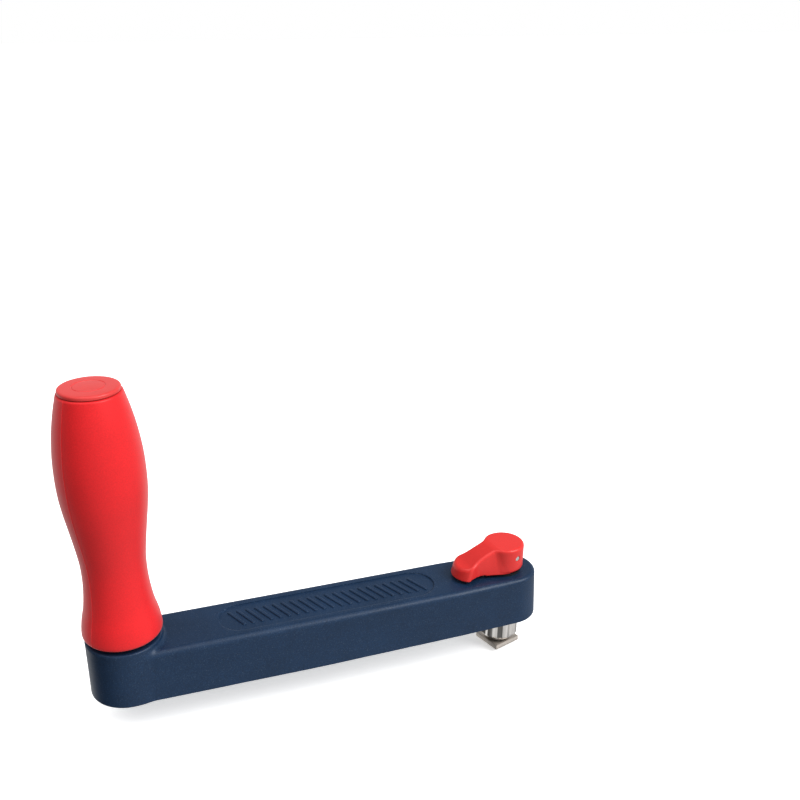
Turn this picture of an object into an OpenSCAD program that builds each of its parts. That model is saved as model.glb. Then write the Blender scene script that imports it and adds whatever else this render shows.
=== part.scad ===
// Floating winch handle with a locking drive stud.
// The origin is on the drive axis, in the plane of the arm's underside, which is the face
// that rests on a winch. +Z points up through the arm and the grip. The arm runs along -X.

/* [Arm] */
// Distance from the drive axis to the grip axis
crank_len = 205; // [195:1:215]
// Thickness of the arm
arm_h = 26.7; // [26:0.1:28]
// Height of the round boss that the grip stands on, above the arm's underside
seat_z = 30; // [29:0.1:31]
// Radius of the round boss at the arm's grip end
boss_r = 18.8; // [18.4:0.1:19.4]
// Half width of the arm at the underside, next to the boss
arm_half = 18.5; // [18:0.1:18.6]
// Half width of the arm at the underside, at its widest, near mid-length
arm_mid_half = 19.2; // [18.8:0.1:19.6]
// Half width of the arm at the underside, where the drive end begins
arm_near_half = 18.1; // [17.8:0.1:18.4]
// Inset of the arm's top from its underside, all round, because the side has draft
arm_draft = 1.3; // [0.8:0.1:1.8]
// Radius of the arm's drive end at the underside
drive_r = 17; // [16.6:0.1:17.6]
// Distance that the centre of the drive end's rounding lies beyond the drive axis
nose_x = 2.6; // [1:0.1:3.4]
// Rounding of the arm's top edge
arm_edge = 3; // [2:0.1:3.6]
// Thickness of the bottom cover
cover_t = 2.6; // [2:0.1:3]
// Thickness of the gasket above the bottom cover
gasket_t = 0.8; // [0.6:0.1:1]

/* [Panel] */
// Distance from the drive axis to the near end of the recess in the arm's top
recess_near = 41.5; // [38:0.5:50]
// Distance from the drive axis to the far end of the recess
recess_far = 158; // [140:0.5:165]
// Half width of the recess
recess_half = 11.5; // [8:0.5:12]
// Depth of the recess
recess_depth = 0.7; // [0.4:0.1:1]
// Number of raised anti-slip ribs in the recess
rib_count = 22; // [6:1:24]

/* [Grip] */
// Length of the grip sleeve
grip_len = 124.6; // [118:0.1:130]
// Gap between the seat and the grip's bottom
grip_gap = 2; // [1.6:0.1:2.4]
// Radius of the sleeve at its foot
grip_foot_r = 19.4; // [19:0.1:20]
// Radius of the sleeve at its waist, near the bottom
grip_waist_r = 15.2; // [14.8:0.1:16]
// Radius of the sleeve at its belly, near the top
grip_belly_r = 20; // [18:0.1:20.5]
// Radius of the sleeve at its top end
grip_top_r = 14.3; // [14.1:0.1:14.6]
// Radius of the end cap
cap_r = 13.7; // [13.2:0.1:13.8]
// Height of the end cap above the sleeve
cap_h = 2.4; // [2:0.1:3]

/* [Drive stud] */
// Width across flats of each of the stud's two crossed squares
stud_af = 17.3; // [17.2:0.05:17.45]
// Radius at the stud's blunt points
stud_tip_r = 10.9; // [10.6:0.1:11.6]
// Length of the stud below the arm
stud_len = 17.1; // [15:0.1:20]
// Length of the lead-in taper at the stud's end
stud_taper = 4; // [2:0.5:5]
// Angle of one of the stud's points from +X
star_turn = -5.5; // [-22:0.5:22]

/* [Lock] */
// Turn of the lever between locked and free
lock_turn = 22.5; // [22:0.5:23]
// Side of the square lock plate
plate_side = 17.1; // [16.5:0.1:17.3]
// Thickness of the lock plate
plate_t = 2.8; // [2.4:0.1:3.2]
// Gap between the stud's end and the lock plate
plate_gap = 0.9; // [0.6:0.1:1.2]
// Radius of the shaft that joins the lever to the plate
shaft_r = 4; // [3.8:0.1:4.1]
// Radial clearance of each running fit
run_gap = 0.05; // [0.03:0.01:0.08]

/* [Lever] */
// Direction of the lever's finger from +X, when locked
lever_turn = 186; // [180:0.5:190]
// Radius of the lever's hub
lever_hub_r = 11; // [10.9:0.1:11.6]
// Height of the lever's top above the arm's top
lever_h = 16.4; // [16:0.1:17]
// Gap between the arm's top and the lever's underside
lever_gap = 1.5; // [1.4:0.1:1.8]
// Distance from the drive axis to the tip of the finger
lever_reach = 30.6; // [28:0.1:32]
// Height of the finger at its tip
lever_tip_h = 6.1; // [5.4:0.1:7]
// Half width of the finger at its waist
lever_waist = 6.5; // [6.2:0.1:7]
// Half width of the finger at its tip
lever_tip_half = 8.4; // [7.6:0.1:9]

/* [Hidden] */

// Colours
navy = "#2b4058";
signal_red = "#d8282c";
steel = "#b9b6b0";
bright_steel = "#d4d2ce";
black = "#202224";
acetal = "#e6e3da";
foam = "#d9cf9f";

// Small amount by which cutting shapes reach past the face that they cut
over = 0.5;
// Gap between fixed neighbours that a real assembly has, such as round a washer
slack = 0.1;

// Places along the arm, from the drive axis, where the half widths above apply
arm_mid_x = 110;
arm_near_x = 32;
nose_edge = 2;

// Arm cavity and cover
cover_half = 15.4;
cover_far = crank_len + 14.4;
cover_near = 24;
cover_corner = 9.4;
rim_w = 2;
cavity_top = 23.4;
rebate_h = cover_t + gasket_t;
screw_y = 10.6;
screw_x = [-32, -83, -134, -185];
screw_r = 1.5;
screw_head_r = 2.9;
screw_head_h = 1.5;
screw_len = 13;
screw_socket_r = 1.1;
screw_tip_r = 0.3;
screw_boss_r = 3.4;
foam_gap = 0.4;

// Recess and its ribs
rib_w = 1.6;
rib_lean = 25;
rib_margin = 9;
rib_len = recess_half * 1.24;
rib_below = 0.1;
boss_edge = 1.2;

// Drive boss, stud root and the parts in the pocket under the lever
stud_taper_in = 3.1;
root_af = 25;
root_h = 10;
pocket_floor = 15;
pocket_r = 8.8;
neck_r = 6.5;
neck_top = 20.6;
stud_washer_t = 1;
stud_washer_r = 8.6;
nut_r = 8.4;
nut_h = 4.2;
nut_slot_w = 2.4;
nut_slot_d = 1.7;
seal_wire_r = 0.6;
seal_ring_r = shaft_r + run_gap + seal_wire_r;
seal_pocket_h = 1.4;

// Stop pin and its slot in the lever
stop_pin_r = 1.3;
stop_pin_orbit = 14.4;
stop_pin_low = 19;
stop_pin_high = arm_h + 2.9;
stop_pin_turn = lever_turn + lock_turn / 2;
stop_slot_half = lock_turn / 2 + asin(stop_pin_r / stop_pin_orbit) + 0.9;
stop_slot_w = 2 * stop_pin_r + 0.8;
stop_slot_top = stop_pin_high + 0.5;

// Lever
lever_low = arm_h + lever_gap;
lever_high = arm_h + lever_h;
lever_edge = 1.9;
lever_chamfer = 1.5;
finger_start = 6;
finger_root_half = 9;
finger_steps = 12;
scoop_r = 21;
scoop_x = 16.5;
tip_round_r = 15;
under_recess = [17, 24.6];
under_recess_d = 0.8;
lever_bore_top = lever_high - 3.2;
pin_r = 1.5;
pin_z = arm_h + 10.2;
pin_half = lever_hub_r - 0.35;
pin_lean = 14;
lever_washer_in = 8.9;
lever_washer_out = 9.9;
spring_room_r = 8.4;
spring_room_top = lever_low + 3;
spring_r = 7.4;
spring_angle = 180;
spring_wire_r = 0.55;
spring_turns = 4;
spring_rings_per_turn = 20;
spring_steps = spring_turns * spring_rings_per_turn;
spring_sides = 8;
spring_low = pocket_floor + stud_washer_t + nut_h + 0.9;
spring_high = spring_room_top - 0.8;
spring_leg = 2.2;
spring_hole_r = 0.8;

// Plate and its screw
plate_corner_cut = 0.7;
plate_top = -stud_len - plate_gap;
plate_low = plate_top - plate_t;
tang = 5.6;
tang_short = 0.3;
plate_screw_head_r = 6;
plate_screw_head_h = 1.6;
plate_screw_r = 2;
plate_screw_len = 14;
plate_screw_bevel = 0.5;
plate_screw_socket_r = 1.7;
plate_screw_socket_d = 1.1;

// Spindle
spindle_r = 6;
spindle_thread_r = 5;
collar_r = 9;
collar_t = 2;
boss_low = 9;
spindle_boss_r = 10.5;
spindle_washer_r = 9.5;
spindle_washer_t = 1.2;
spindle_nut_af = 16;
spindle_nut_h = 4;
thrust_t = 0.8;
thrust_gap = 0.15;

// Grip
grip_low = seat_z + grip_gap;
grip_high = grip_low + grip_len;
sleeve_t = 2.6;
core_wall = 2;
bush_r = 7.6;
bush_flange_r = 9.4;
bush_flange_t = 1.6;
bush_len = 16;
core_tube_r = 10;
core_floor_t = 3;
core_floor_z = grip_low + core_floor_t + slack / 2;
lower_bush_low = seat_z + collar_t + thrust_t + thrust_gap;
core_high = grip_high - 0.6;
bush_top = core_high - 9;
washer_t = 1.6;
washer_r = 8.6;
spindle_top = bush_top + thrust_gap;
grip_screw_r = 2.5;
grip_screw_head_r = 4.6;
grip_screw_head_h = 3;
grip_screw_len = 16;
grip_screw_socket_af = 4;
grip_screw_socket_floor = 1;
cap_spigot_wall = 1.6;
cap_spigot_h = 5;
cap_groove_r = 7.1;
cap_groove_w = 0.5;
cap_groove_d = 0.3;

// Radius of the sleeve at fractions of its length, from foot to top
grip_stations = [
    [0, grip_foot_r],
    [0.08, grip_foot_r - 0.6],
    [0.2, grip_waist_r + 0.7],
    [0.32, grip_waist_r],
    [0.48, grip_belly_r - 2.5],
    [0.62, grip_belly_r],
    [0.76, grip_belly_r - 0.1],
    [0.88, grip_belly_r - 2],
    [1, grip_top_r]
];
grip_steps = 40;
foot_round = 2.4;

// ---------- Shared shapes ----------

// Slope of the sleeve's outline at station i
function station_slope(i) =
    let (last = len(grip_stations) - 1)
    let (a = grip_stations[max(i - 1, 0)])
    let (b = grip_stations[min(i + 1, last)])
    (b[1] - a[1]) / (b[0] - a[0]);

// Index of the stretch of the outline that holds fraction f
function stretch(f, i = 0) =
    (i >= len(grip_stations) - 2 || f < grip_stations[i + 1][0]) ? i : stretch(f, i + 1);

// Radius of the sleeve at fraction f: a smooth curve through the stations
function sleeve_r(f) =
    let (i = stretch(f))
    let (a = grip_stations[i])
    let (b = grip_stations[i + 1])
    let (w = b[0] - a[0])
    let (t = (f - a[0]) / w)
    (2 * pow(t, 3) - 3 * pow(t, 2) + 1) * a[1]
    + (pow(t, 3) - 2 * pow(t, 2) + t) * w * station_slope(i)
    + (3 * pow(t, 2) - 2 * pow(t, 3)) * b[1]
    + (pow(t, 3) - pow(t, 2)) * w * station_slope(i + 1);

// Outline of the grip, inset from the sleeve's surface, between two heights
function grip_outline(inset, z_low, z_high) =
    [for (i = [0 : grip_steps])
        let (z = z_low + (z_high - z_low) * i / grip_steps)
        [sleeve_r((z - grip_low) / grip_len) - inset, z]];

// Quarter circle of radius r about [x, y], from angle a to angle b
function arc(x, y, r, a, b, steps = 5) =
    [for (i = [0 : steps]) [x + r * cos(a + (b - a) * i / steps), y + r * sin(a + (b - a) * i / steps)]];

// Round post with a rounded top edge
module post(r_low, r_high, h, edge) {
    rotate_extrude($fn = 48)
        polygon(concat([[0, 0], [r_low, 0]], arc(r_high - edge, h - edge, edge, 0, 90), [[0, h]]));
}

// Plan of the cover, with its far end shaped to the arm's round end
module cover_plan(inset) {
    half = cover_half - inset;
    far = -cover_far + inset;
    near = -cover_near - inset;
    cut = cover_corner;
    polygon([[near, -half], [near, half], [far + cut, half], [far, half - cut],
             [far, -half + cut], [far + cut, -half]]);
}

module at_grip() {
    translate([-crank_len, 0, 0]) children();
}

module at_cover_screws() {
    for (x = screw_x, y = [-screw_y, screw_y])
        translate([x, y, 0]) children();
}

// Ring with a square section
module ring(r_in, r_out, z_low, z_high) {
    translate([0, 0, z_low])
        difference() {
            cylinder(r = r_out, h = z_high - z_low, $fn = 64);
            translate([0, 0, -over]) cylinder(r = r_in, h = z_high - z_low + 2 * over, $fn = 64);
        }
}

module disc(r, z_low, z_high) {
    translate([0, 0, z_low]) cylinder(r = r, h = z_high - z_low, $fn = 64);
}

// Stadium along the arm, from one distance to another
module stadium(near, far, half, z_low, z_high) {
    hull()
        for (x = [near + half, far - half])
            translate([-x, 0, z_low]) cylinder(r = half, h = z_high - z_low, $fn = 32);
}

// ---------- Arm ----------

module arm_outside() {
    hull() {
        translate([nose_x, 0, 0]) post(drive_r, drive_r - arm_draft, arm_h, nose_edge);
        translate([-arm_near_x, 0, 0]) post(arm_near_half, arm_near_half - arm_draft, arm_h, arm_edge);
        translate([-arm_mid_x, 0, 0]) post(arm_mid_half, arm_near_half - arm_draft, arm_h, arm_edge);
        at_grip() post(arm_half, arm_half - arm_draft, arm_h, arm_edge);
    }
    at_grip() post(boss_r, boss_r, seat_z, boss_edge);
}

module arm_cavity() {
    difference() {
        translate([0, 0, -over]) linear_extrude(cavity_top + over) cover_plan(rim_w);
        at_grip() disc(spindle_boss_r, boss_low, cavity_top + over);
        at_cover_screws() disc(screw_boss_r, rebate_h, cavity_top + over);
    }
}

// Slanted anti-slip ribs that stand in the recess, flush with the arm's top
module recess_ribs() {
    span = recess_far - recess_near - 2 * rib_margin;
    for (i = [0 : rib_count - 1]) {
        x = -(recess_near + rib_margin + span * i / (rib_count - 1));
        translate([x, 0, arm_h - recess_depth - over])
            rotate([0, 0, rib_lean])
                translate([-rib_w / 2, -rib_len / 2, 0])
                    cube([rib_w, rib_len, recess_depth + over - rib_below]);
    }
}

module arm_shell() {
    color(navy)
        union() {
            difference() {
                arm_outside();
                stadium(recess_near, recess_far, recess_half, arm_h - recess_depth, arm_h + over);
                translate([0, 0, -over]) linear_extrude(rebate_h + over) cover_plan(0);
                arm_cavity();
                at_cover_screws() disc(screw_r + run_gap, 0, screw_len + 1);
                at_grip() disc(spindle_r, boss_low - over, seat_z + over);
                rotate([0, 0, 22.5])
                    translate([0, 0, -over])
                        cylinder(d = root_af / cos(22.5), h = root_h + over, $fn = 8);
                disc(neck_r + slack, 0, pocket_floor + over);
                disc(pocket_r, pocket_floor, arm_h + over);
                rotate([0, 0, stop_pin_turn])
                    translate([stop_pin_orbit, 0, 0])
                        disc(stop_pin_r + run_gap, stop_pin_low, arm_h + over);
            }
            recess_ribs();
        }
}

module bottom_cover() {
    color(navy)
        difference() {
            linear_extrude(cover_t) cover_plan(slack);
            at_cover_screws() {
                disc(screw_r + run_gap, -over, cover_t + over);
                rotate_extrude($fn = 48)
                    polygon([[0, -over], [screw_head_r + over, -over], [screw_head_r, 0],
                             [screw_r, screw_head_h], [0, screw_head_h]]);
            }
        }
}

module cover_gasket() {
    color(black)
        translate([0, 0, cover_t])
            linear_extrude(gasket_t)
                difference() {
                    cover_plan(slack);
                    cover_plan(rim_w);
                }
}

module cover_screws() {
    color(steel)
        at_cover_screws()
            difference() {
                rotate_extrude($fn = 48)
                    polygon([[0, 0], [screw_head_r, 0], [screw_r, screw_head_h],
                             [screw_r, screw_len - 1], [screw_tip_r, screw_len],
                             [0, screw_len]]);
                translate([0, 0, -over]) cylinder(r = screw_socket_r, h = over + screw_socket_r, $fn = 6);
            }
}

module foam_core() {
    color(foam)
        difference() {
            translate([0, 0, rebate_h + foam_gap])
                linear_extrude(cavity_top - rebate_h - 2 * foam_gap) cover_plan(rim_w + foam_gap);
            at_grip() disc(spindle_boss_r + foam_gap, 0, cavity_top);
            at_cover_screws() disc(screw_boss_r + foam_gap, 0, cavity_top);
        }
}

// ---------- Drive stud ----------

module crossed_squares(side, h) {
    for (turn = [0, 45])
        rotate([0, 0, turn])
            translate([-side / 2, -side / 2, 0]) cube([side, side, h]);
}

module drive_stud() {
    color(bright_steel)
        difference() {
            union() {
                intersection() {
                    rotate([0, 0, star_turn])
                        translate([0, 0, -stud_len]) crossed_squares(stud_af, stud_len + 1);
                    rotate_extrude($fn = 96)
                        polygon([[0, 1], [stud_tip_r, 1], [stud_tip_r, -stud_len + stud_taper],
                                 [stud_tip_r - stud_taper_in, -stud_len], [0, -stud_len]]);
                }
                rotate([0, 0, 22.5])
                    cylinder(d = (root_af - slack) / cos(22.5), h = root_h, $fn = 8);
                disc(neck_r, root_h - 1, neck_top);
            }
            disc(shaft_r + run_gap, -stud_len - over, neck_top + over);
            disc(seal_ring_r + seal_wire_r + run_gap, neck_top - seal_pocket_h, neck_top + over);
        }
}

module stud_washer() {
    color(steel) ring(neck_r + slack, stud_washer_r, pocket_floor, pocket_floor + stud_washer_t);
}

module stud_nut() {
    low = pocket_floor + stud_washer_t;
    color(steel)
        difference() {
            ring(neck_r, nut_r, low, low + nut_h);
            for (turn = [0 : 90 : 270])
                rotate([0, 0, turn])
                    translate([nut_r - nut_slot_d, -nut_slot_w / 2, low + nut_h / 2])
                        cube([nut_slot_d + over, nut_slot_w, nut_h]);
        }
}

module shaft_seal() {
    color(black)
        translate([0, 0, neck_top - seal_pocket_h / 2])
            rotate_extrude($fn = 64)
                translate([seal_ring_r, 0]) circle(r = seal_wire_r, $fn = 32);
}

module stop_pin() {
    color(steel)
        rotate([0, 0, stop_pin_turn])
            translate([stop_pin_orbit, 0, 0]) disc(stop_pin_r, stop_pin_low, stop_pin_high);
}

// ---------- Lock ----------

// Round bar across the drive axis, along Y, at the cross pin's height
module cross_bar(r, half) {
    translate([0, half, pin_z])
        rotate([90, 0, 0]) cylinder(r = r, h = 2 * half, $fn = 48);
}

// Side view of the finger, whose top eases down from the hub to the tip
module lever_side() {
    run = lever_reach + over - finger_start;
    drop = lever_high - lever_low - lever_tip_h;
    top = [for (i = [0 : finger_steps])
        let (s = i / finger_steps)
        [finger_start + run * s, lever_high - drop * (1 - cos(180 * s)) / 2]];
    translate([0, lever_hub_r, 0])
        rotate([90, 0, 0])
            linear_extrude(2 * lever_hub_r)
                polygon(concat([[0, lever_low], [0, lever_high]], top,
                               [[lever_reach + over, lever_low],
                                [under_recess[1] + under_recess_d, lever_low],
                                [under_recess[1], lever_low + under_recess_d],
                                [under_recess[0], lever_low + under_recess_d],
                                [under_recess[0] - under_recess_d, lever_low]]));
}

// Plan of the finger: waisted, with a rounded tip
module lever_plan() {
    translate([0, 0, lever_low - over])
        linear_extrude(lever_h + 2 * over)
            difference() {
                intersection() {
                    polygon([[0, -finger_root_half], [0, finger_root_half],
                             [lever_reach, lever_tip_half], [lever_reach, -lever_tip_half]]);
                    translate([lever_reach - tip_round_r, 0]) circle(r = tip_round_r, $fn = 96);
                }
                for (side = [-1, 1])
                    translate([scoop_x, side * (lever_waist + scoop_r)]) circle(r = scoop_r, $fn = 96);
            }
}

module lock_lever() {
    color(signal_red)
        rotate([0, 0, lever_turn])
            difference() {
                union() {
                    rotate_extrude($fn = 96)
                        polygon(concat([[0, lever_low], [lever_hub_r - lever_chamfer, lever_low],
                                        [lever_hub_r, lever_low + lever_chamfer]],
                                       arc(lever_hub_r - lever_edge, lever_high - lever_edge,
                                           lever_edge, 0, 90),
                                       [[0, lever_high]]));
                    intersection() {
                        lever_side();
                        lever_plan();
                    }
                }
                disc(shaft_r, lever_low - over, lever_bore_top);
                disc(spring_room_r, lever_low - over, spring_room_top);
                rotate([0, 0, spring_angle - lever_turn])
                    translate([spring_r, 0, 0])
                        disc(spring_hole_r, spring_high - over, spring_high + spring_leg + over);
                rotate([0, 0, pin_lean]) cross_bar(pin_r, lever_hub_r + over);
                rotate([0, 0, -stop_slot_half])
                    rotate_extrude(angle = 2 * stop_slot_half, $fn = 96)
                        translate([stop_pin_orbit - stop_slot_w / 2, lever_low - over])
                            square([stop_slot_w, stop_slot_top - lever_low + over]);
            }
}

module lever_pin() {
    color(bright_steel)
        rotate([0, 0, lever_turn + pin_lean]) cross_bar(pin_r, pin_half);
}

module lever_washer() {
    color(black)
        ring(lever_washer_in, lever_washer_out, arm_h, lever_low - 0.3);
}

// Point i of the torsion spring's centre line
function spring_point(i) =
    let (a = spring_angle + 360 * i / spring_rings_per_turn)
    [spring_r * cos(a), spring_r * sin(a), spring_low + (spring_high - spring_low) * i / spring_steps];

// Ring of points about one point of the coil, in the plane of the axis and that point
function spring_ring(i) =
    let (p = spring_point(i))
    let (a = spring_angle + 360 * i / spring_rings_per_turn)
    [for (k = [0 : spring_sides - 1])
        let (b = 360 * k / spring_sides)
        p + spring_wire_r * [cos(b) * cos(a), cos(b) * sin(a), sin(b)]];

module lever_spring() {
    sides = spring_sides;
    points = [for (i = [0 : spring_steps]) each spring_ring(i)];
    walls = [for (i = [0 : spring_steps - 1], k = [0 : sides - 1])
        [i * sides + k, i * sides + (k + 1) % sides,
         (i + 1) * sides + (k + 1) % sides, (i + 1) * sides + k]];
    first = [for (k = [0 : sides - 1]) sides - 1 - k];
    last = [for (k = [0 : sides - 1]) spring_steps * sides + k];
    color(steel)
        union() {
            polyhedron(points, concat([first], walls, [last]), convexity = 6);
            rotate([0, 0, spring_angle])
                translate([spring_r, 0, 0]) {
                    disc(spring_wire_r - 0.05, spring_high - 0.1, spring_high + spring_leg);
                    disc(spring_wire_r - 0.05, spring_low - spring_leg, spring_low + 0.1);
                }
        }
}

module lock_shaft() {
    color(steel)
        difference() {
            union() {
                disc(shaft_r, plate_top, lever_bore_top - slack);
                translate([-tang / 2, -tang / 2, plate_low + tang_short])
                    cube([tang, tang, plate_t]);
            }
            rotate([0, 0, lever_turn + pin_lean]) cross_bar(pin_r, shaft_r + over);
            disc(plate_screw_r, plate_low - over, plate_low + plate_screw_len + 1);
        }
}

module lock_plate() {
    corner_r = plate_side / sqrt(2) - plate_corner_cut / 2;
    color(steel)
        difference() {
            intersection() {
                rotate([0, 0, star_turn + lock_turn])
                    translate([-plate_side / 2, -plate_side / 2, plate_low])
                        cube([plate_side, plate_side, plate_t]);
                disc(corner_r, plate_low - over, plate_top + over);
            }
            translate([-tang / 2, -tang / 2, plate_low - over])
                cube([tang, tang, plate_t + 2 * over]);
        }
}

module plate_screw() {
    color(steel)
        difference() {
            union() {
                rotate_extrude($fn = 64)
                    polygon([[0, plate_low], [plate_screw_head_r, plate_low],
                             [plate_screw_head_r, plate_low - plate_screw_head_h + plate_screw_bevel],
                             [plate_screw_head_r - plate_screw_bevel, plate_low - plate_screw_head_h],
                             [0, plate_low - plate_screw_head_h]]);
                disc(plate_screw_r, plate_low - over, plate_low + plate_screw_len);
            }
            translate([0, 0, plate_low - plate_screw_head_h - over])
                cylinder(r = plate_screw_socket_r, h = over + plate_screw_socket_d, $fn = 6);
        }
}

// ---------- Grip spindle ----------

module grip_spindle() {
    thread_low = boss_low - spindle_washer_t - spindle_nut_h - 0.8;
    color(steel)
        at_grip()
            difference() {
                union() {
                    disc(spindle_thread_r, thread_low, boss_low + over);
                    disc(spindle_r, boss_low, spindle_top);
                    disc(collar_r, seat_z, seat_z + collar_t);
                }
                disc(grip_screw_r, spindle_top - grip_screw_len, spindle_top + over);
            }
}

module spindle_washer() {
    color(steel)
        at_grip()
            ring(spindle_thread_r + slack, spindle_washer_r, boss_low - spindle_washer_t, boss_low);
}

module spindle_nut() {
    high = boss_low - spindle_washer_t;
    color(steel)
        at_grip()
            difference() {
                translate([0, 0, high - spindle_nut_h])
                    cylinder(d = spindle_nut_af / cos(30), h = spindle_nut_h, $fn = 6);
                disc(spindle_thread_r, high - spindle_nut_h - over, high + over);
            }
}

module thrust_washer() {
    low = seat_z + collar_t;
    color(acetal) at_grip() ring(spindle_r + slack, collar_r, low, low + thrust_t);
}

module retaining_washer() {
    color(steel)
        at_grip() ring(grip_screw_r + slack, washer_r, spindle_top, spindle_top + washer_t);
}

module retaining_screw() {
    head_low = spindle_top + washer_t;
    color(steel)
        at_grip()
            difference() {
                union() {
                    disc(grip_screw_head_r, head_low, head_low + grip_screw_head_h);
                    disc(grip_screw_r, spindle_top - grip_screw_len + 1, head_low + over);
                }
                translate([0, 0, head_low + grip_screw_socket_floor])
                    cylinder(d = grip_screw_socket_af / cos(30), h = grip_screw_head_h, $fn = 6);
            }
}

// ---------- Grip ----------

module grip_sleeve() {
    foot_r = sleeve_r(0);
    outside = grip_outline(0, grip_low + foot_round, grip_high - 0.8);
    inside = grip_outline(sleeve_t, grip_low + core_floor_t, core_high);
    inner_foot = inside[0][0];
    color(signal_red)
        at_grip()
            rotate_extrude($fn = 96)
                polygon(concat([[bush_flange_r + 1.6, grip_low], [foot_r - foot_round, grip_low]],
                               arc(foot_r - foot_round, grip_low + foot_round, foot_round, -90, -15, 5),
                               outside,
                               [[sleeve_r(1) - 0.4, grip_high], [cap_r + 0.2, grip_high],
                                [cap_r + 0.2, core_high]],
                               [for (i = [grip_steps : -1 : 0]) inside[i]],
                               [[bush_flange_r + 1.6, inside[0][1]]]));
}

module grip_core() {
    inset = sleeve_t + slack / 2;
    outside = grip_outline(inset, core_floor_z, core_high);
    chamber_low = core_floor_z + core_floor_t;
    chamber = grip_outline(inset + core_wall, chamber_low, core_high - cap_spigot_h - 2);
    color(black)
        at_grip()
            rotate_extrude($fn = 96)
                polygon(concat([[bush_r, core_floor_z]],
                               outside,
                               [[cap_r - 3.2, core_high],
                                [cap_r - 3.2, core_high - cap_spigot_h - 1.5]],
                               [for (i = [grip_steps : -1 : 0]) chamber[i]],
                               [[core_tube_r, chamber_low],
                                [core_tube_r, bush_top],
                                [bush_flange_r + slack, bush_top],
                                [bush_flange_r + slack, bush_top - bush_flange_t],
                                [bush_r, bush_top - bush_flange_t]]));
}

// Plain bush with a flange, from z_low to z_high, with its flange between two heights
module bush(z_low, z_high, flange_low, flange_high) {
    color(acetal)
        at_grip()
            difference() {
                union() {
                    disc(bush_r, z_low, z_high);
                    disc(bush_flange_r, flange_low, flange_high);
                }
                disc(spindle_r + run_gap, z_low - over, z_high + over);
            }
}

module lower_bush() {
    bush(lower_bush_low, lower_bush_low + bush_len, lower_bush_low, core_floor_z);
}

module upper_bush() {
    bush(bush_top - bush_len, bush_top, bush_top - bush_flange_t, bush_top);
}

module grip_cap() {
    spigot_r = cap_r - 3.3;
    spigot_in = spigot_r - cap_spigot_wall;
    spigot_low = core_high - cap_spigot_h;
    color(signal_red)
        at_grip()
            difference() {
                rotate_extrude($fn = 96)
                    polygon(concat([[spigot_in, spigot_low], [spigot_r, spigot_low], [spigot_r, core_high],
                                    [cap_r, core_high]],
                                   arc(cap_r - 0.9, grip_high + cap_h - 0.9, 0.9, 0, 90),
                                   [[0, grip_high + cap_h], [0, core_high + 1],
                                    [spigot_in, core_high + 1]]));
                ring(cap_groove_r, cap_groove_r + cap_groove_w, grip_high + cap_h - cap_groove_d,
                     grip_high + cap_h + over);
            }
}

// ---------- Assembly ----------

arm_shell();
bottom_cover();
cover_gasket();
cover_screws();
foam_core();
drive_stud();
stud_washer();
stud_nut();
shaft_seal();
stop_pin();
grip_spindle();
spindle_washer();
spindle_nut();
thrust_washer();
retaining_washer();
retaining_screw();
lock_lever();
lever_pin();
lever_washer();
lever_spring();
lock_shaft();
lock_plate();
plate_screw();
grip_sleeve();
grip_core();
lower_bush();
upper_bush();
grip_cap();
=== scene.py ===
import math

import bpy
import numpy as np
from mathutils import Matrix, Vector


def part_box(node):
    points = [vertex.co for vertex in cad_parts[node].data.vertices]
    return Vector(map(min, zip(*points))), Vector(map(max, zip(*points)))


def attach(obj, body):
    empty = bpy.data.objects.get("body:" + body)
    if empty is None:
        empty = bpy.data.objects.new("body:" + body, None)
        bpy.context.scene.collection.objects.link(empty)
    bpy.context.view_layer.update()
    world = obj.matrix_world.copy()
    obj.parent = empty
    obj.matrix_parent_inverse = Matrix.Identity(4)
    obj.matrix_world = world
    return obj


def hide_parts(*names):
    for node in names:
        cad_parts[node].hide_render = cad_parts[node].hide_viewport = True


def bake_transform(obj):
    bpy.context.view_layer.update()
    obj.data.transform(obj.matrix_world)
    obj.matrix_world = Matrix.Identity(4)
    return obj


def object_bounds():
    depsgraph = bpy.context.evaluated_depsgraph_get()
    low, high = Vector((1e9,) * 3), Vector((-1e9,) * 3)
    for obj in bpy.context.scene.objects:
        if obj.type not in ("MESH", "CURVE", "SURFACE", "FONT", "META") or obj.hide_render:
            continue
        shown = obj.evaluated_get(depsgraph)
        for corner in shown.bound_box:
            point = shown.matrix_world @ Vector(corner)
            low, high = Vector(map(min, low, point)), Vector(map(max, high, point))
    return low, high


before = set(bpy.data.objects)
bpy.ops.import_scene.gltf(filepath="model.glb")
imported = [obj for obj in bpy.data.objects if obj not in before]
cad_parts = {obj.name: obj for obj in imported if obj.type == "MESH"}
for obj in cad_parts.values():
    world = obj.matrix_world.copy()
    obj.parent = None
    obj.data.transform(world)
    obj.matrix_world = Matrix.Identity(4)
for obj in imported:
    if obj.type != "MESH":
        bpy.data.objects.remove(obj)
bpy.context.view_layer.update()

# Shapes are worked out in millimetres and stored in metres
MM = 0.001


def mm_box(node):
    """Lower and upper corner of a node's box, in millimetres."""
    lo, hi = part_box(node)
    return np.array(lo) / MM, np.array(hi) / MM


# ---------------------------------------------------------------- dimensions
ARM_LO, ARM_HI = mm_box("arm_shell")
SLEEVE_LO, SLEEVE_HI = mm_box("grip_sleeve")
CAP_LO, CAP_HI = mm_box("grip_cap")
LEVER_LO, LEVER_HI = mm_box("lock_lever")
COVER_LO, COVER_HI = mm_box("bottom_cover")
GASKET_HI = mm_box("cover_gasket")[1]
STUD_LO, STUD_HI = mm_box("drive_stud")
PLATE_LO, PLATE_HI = mm_box("lock_plate")
SCREW_LO = mm_box("plate_screw")[0]
GRIP_X = (SLEEVE_LO[0] + SLEEVE_HI[0]) / 2

# Arm: height of the bar, and height and radius of the boss under the grip
ARM_H = 26.7
SEAT_Z = ARM_HI[2]
BOSS_R = GRIP_X - ARM_LO[0]
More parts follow.
